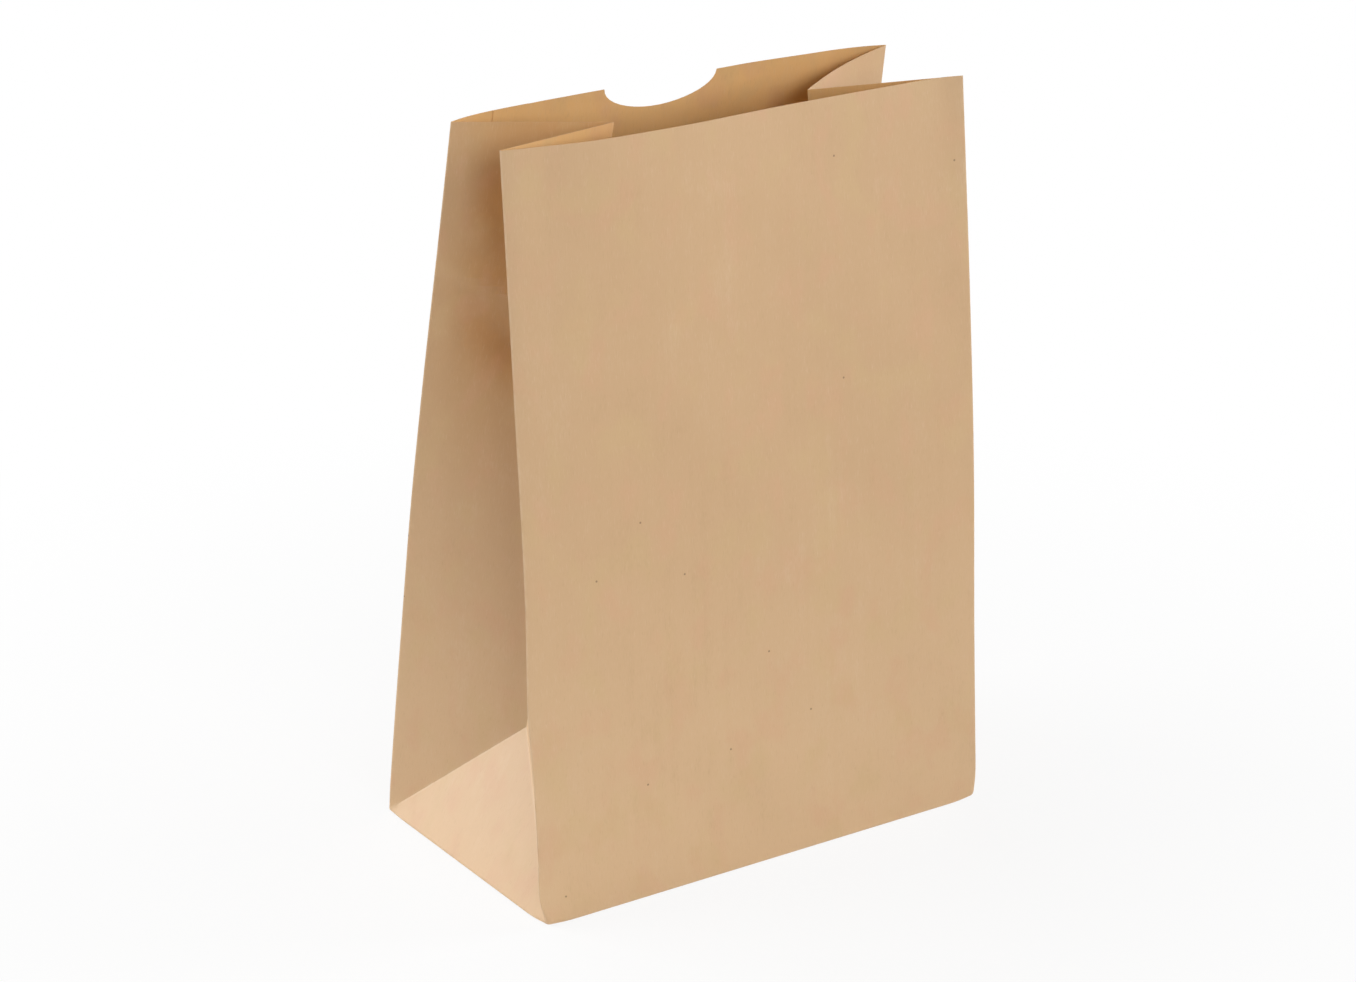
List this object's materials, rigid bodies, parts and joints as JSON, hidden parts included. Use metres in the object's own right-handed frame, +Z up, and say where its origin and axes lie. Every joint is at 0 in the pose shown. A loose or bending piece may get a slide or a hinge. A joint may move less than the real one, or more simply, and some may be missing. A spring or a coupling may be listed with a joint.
{
  "type": "paper lunch bag",
  "caption": "Brown paper bag standing open: gusseted sides, folded block bottom, thumb notch in the back panel's top edge.",
  "frame": {"origin": "middle of the bottom, on the surface that the bag stands on", "axes": "+Z up, front panel towards -Y, gusseted sides towards -X and +X"},
  "size_m": [0.1636, 0.0901, 0.2199],
  "materials": {
    "kraft_paper": "plain unbleached kraft paper, matt, with a fine fibre mottle"
  },
  "bodies": {
    "root": {"paper_bag": "kraft_paper"}
  },
  "joints": []
}
